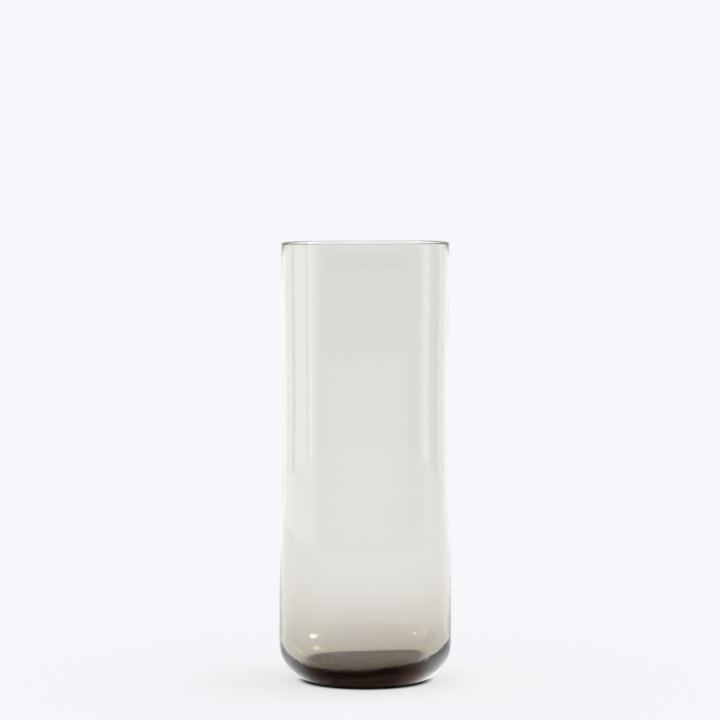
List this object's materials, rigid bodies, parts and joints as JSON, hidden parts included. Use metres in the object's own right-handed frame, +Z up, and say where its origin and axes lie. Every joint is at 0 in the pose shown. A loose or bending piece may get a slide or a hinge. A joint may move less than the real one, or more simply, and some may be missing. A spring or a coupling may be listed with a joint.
{
  "type": "glass cylinder vase",
  "caption": "Tall, faintly waisted cylinder vase in blown smoke-grey glass, with a thin fire-rounded lip, a rounded foot and a thick solid floor ground flat underneath.",
  "frame": {"origin": "centre of the ground flat that the vase stands on", "axes": "+Z up the axis of the vase, from the ground flat to the mouth; the vase is a body of revolution, so +X and +Y are free"},
  "size_m": [0.118, 0.118, 0.3],
  "materials": {
    "smoke_glass": "clear polished smoke-grey glass, tinted through its whole thickness"
  },
  "bodies": {
    "root": {"glass_vase": "smoke_glass"}
  },
  "joints": []
}
